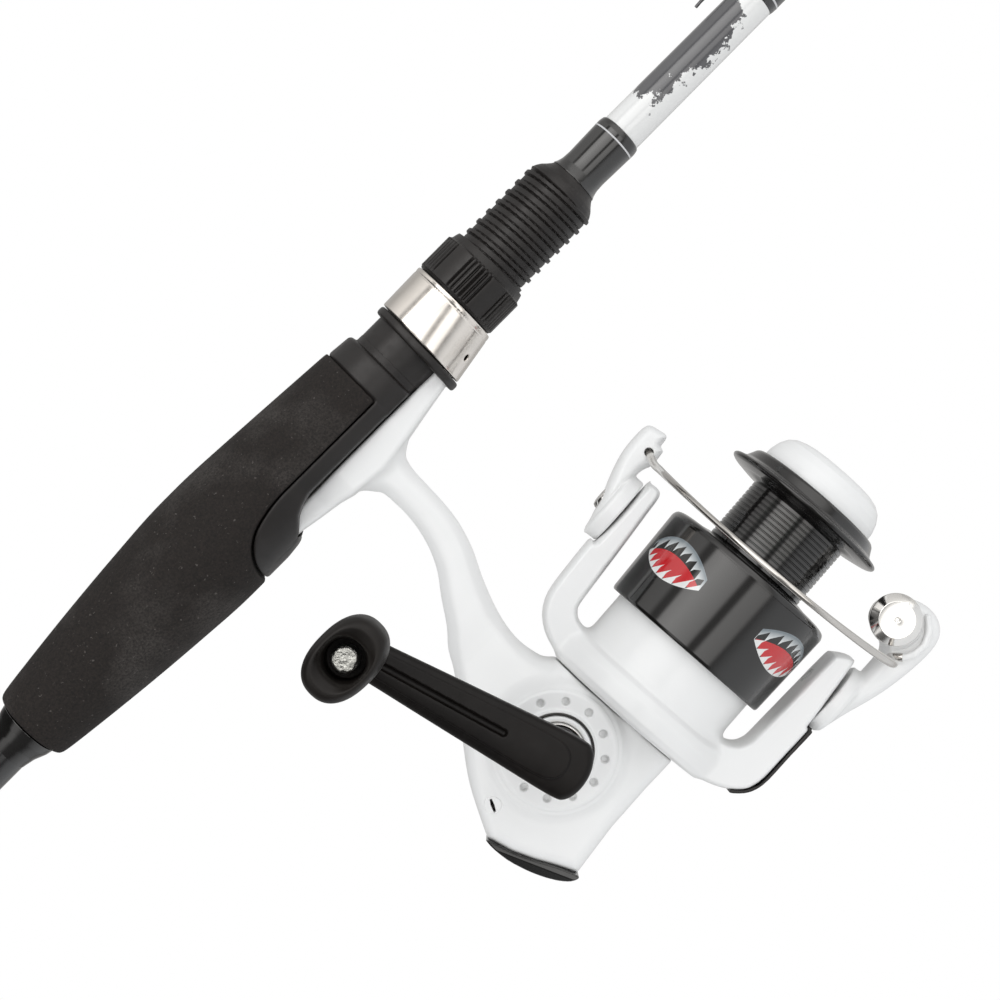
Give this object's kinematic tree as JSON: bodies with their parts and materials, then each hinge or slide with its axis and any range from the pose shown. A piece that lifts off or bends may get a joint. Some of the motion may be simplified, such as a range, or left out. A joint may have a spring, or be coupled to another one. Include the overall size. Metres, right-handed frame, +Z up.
{
  "type": "fishing rod and reel",
  "caption": "Two-piece light spinning rod with foam grips, line guides and a screw-down seat, carrying an open-face spinning reel with a folding bail, a crank and a front drag knob.",
  "frame": {"origin": "centre of the butt cap's flat end face, on the rod's axis", "axes": "+X along the rod to its tip, +Z up and away from the reel, the crank is on the -Y side"},
  "size_m": [1.676, 0.1094, 0.1619],
  "materials": {
    "foam": "dense closed-cell foam, fine speckle, matt",
    "rubber": "soft-touch, matt",
    "blank": "clear-coated graphite, gloss",
    "seat_plastic": "satin black",
    "stainless": "polished",
    "black_nylon": "satin black",
    "white_gloss": "gloss white",
    "black_gloss": "gloss black",
    "ceramic": "polished ceramic",
    "guide_steel": "dark plated steel",
    "steel": "polished steel",
    "brass": "machined",
    "zinc": "die-cast",
    "felt": "oiled felt",
    "crank_black": "satin black"
  },
  "bodies": {
    "rod_handle": {"butt_cap": "rubber", "butt_grip": "foam", "grip_check": "black_gloss", "lower_blank": "blank", "foam_grip": "foam", "reel_seat": "seat_plastic", "hook_keeper": "guide_steel", "guide_ring_1": "ceramic", "guide_frame_1": "guide_steel", "reel_body": "white_gloss", "side_cover": "white_gloss", "cover_screw_1": "steel", "cover_screw_2": "steel", "cover_screw_3": "steel", "rear_cap": "black_gloss", "gear_bearing_near": "steel", "gear_bearing_far": "steel", "pinion_bearing": "steel", "anti_reverse_clutch": "steel"},
    "tip_section": {"upper_blank": "blank", "guide_ring_2": "ceramic", "guide_frame_2": "guide_steel", "guide_ring_3": "ceramic", "guide_frame_3": "guide_steel", "guide_ring_4": "ceramic", "guide_frame_4": "guide_steel", "guide_ring_5": "ceramic", "guide_frame_5": "guide_steel", "tip_top": "guide_steel", "tip_ring": "ceramic"},
    "hood": {"hood_collar": "black_nylon", "movable_hood": "stainless"},
    "lock_nut": {"lock_nut": "black_nylon"},
    "crank": {"drive_gear": "zinc", "handle_collar": "steel", "handle_shaft": "steel", "handle_cap": "black_nylon", "crank_arm": "crank_black", "knob_spindle": "steel"},
    "knob": {"handle_knob": "rubber"},
    "oscillator": {"oscillation_gear": "zinc"},
    "rotor": {"rotor": "white_gloss", "rotor_nut": "brass", "pinion_gear": "brass", "lower_arm_cover": "black_nylon", "upper_pivot_screw": "steel", "lower_pivot_screw": "steel"},
    "bail": {"bail_arm": "white_gloss", "roller_arm": "white_gloss", "bail_wire": "steel", "roller_cap": "steel"},
    "line_roller": {"line_roller": "steel"},
    "spool_shaft": {"main_shaft": "steel", "oscillation_slider": "brass", "drag_washer_steel": "steel"},
    "spool": {"spool": "black_gloss", "drag_washer_felt": "felt"},
    "drag_knob": {"drag_knob": "white_gloss"},
    "anti_reverse_lever": {"anti_reverse_lever": "black_nylon"}
  },
  "joints": [
    {"name": "tip_section_pull", "type": "slide", "parent": "rod_handle", "child": "tip_section", "axis": [1, 0, 0], "range_m": [0, 0.055]},
    {"name": "hood_slide", "type": "slide", "parent": "rod_handle", "child": "hood", "axis": [1, 0, 0], "range_m": [0, 0.024]},
    {"name": "lock_nut_turn", "type": "hinge", "parent": "hood", "child": "lock_nut", "pos_m": [0.351, 0, 0], "axis": [1, 0, 0], "range_deg": [0, 2520]},
    {"name": "crank_turn", "type": "hinge", "parent": "rod_handle", "child": "crank", "pos_m": [0.2844, 0, -0.09572], "axis": [0, 1, 0], "continuous": true},
    {"name": "knob_spin", "type": "hinge", "parent": "crank", "child": "knob", "pos_m": [0.26988, -0.067, -0.04388], "axis": [0, 1, 0], "continuous": true},
    {"name": "oscillator_turn", "type": "hinge", "parent": "rod_handle", "child": "oscillator", "pos_m": [0.27602, -0.0087, -0.1053], "axis": [0, 1, 0], "continuous": true},
    {"name": "rotor_spin", "type": "hinge", "parent": "rod_handle", "child": "rotor", "pos_m": [0.30495, 0, -0.10336], "axis": [0.9977, 0, 0.0671], "continuous": true},
    {"name": "bail_flip", "type": "hinge", "parent": "rotor", "child": "bail", "pos_m": [0.33888, 0, -0.10107], "axis": [-0.0671, 0, 0.9977], "range_deg": [0, 110]},
    {"name": "line_roller_spin", "type": "hinge", "parent": "bail", "child": "line_roller", "pos_m": [0.36549, -0.0015, -0.13306], "axis": [0, 1, 0], "continuous": true},
    {"name": "spool_stroke", "type": "slide", "parent": "rod_handle", "child": "spool_shaft", "axis": [0.9977, 0, 0.0671], "range_m": [0, 0.0104]},
    {"name": "drag_slip", "type": "hinge", "parent": "spool_shaft", "child": "spool", "pos_m": [0.35484, 0, -0.1], "axis": [0.9977, 0, 0.0671], "continuous": true},
    {"name": "drag_knob_turn", "type": "hinge", "parent": "spool_shaft", "child": "drag_knob", "pos_m": [0.37679, 0, -0.09852], "axis": [0.9977, 0, 0.0671], "range_deg": [-540, 540]},
    {"name": "anti_reverse_switch", "type": "slide", "parent": "rod_handle", "child": "anti_reverse_lever", "axis": [-0.0671, 0, 0.9977], "range_m": [0, 0.0014]}
  ],
  "couplings": [
    {"joint": "rotor_spin", "follows": "crank_turn", "ratio": -5.2},
    {"joint": "oscillator_turn", "follows": "crank_turn", "ratio": -0.7},
    {"joint": "hood_slide", "follows": "lock_nut_turn", "m_per_rad": 0.00054113}
  ]
}
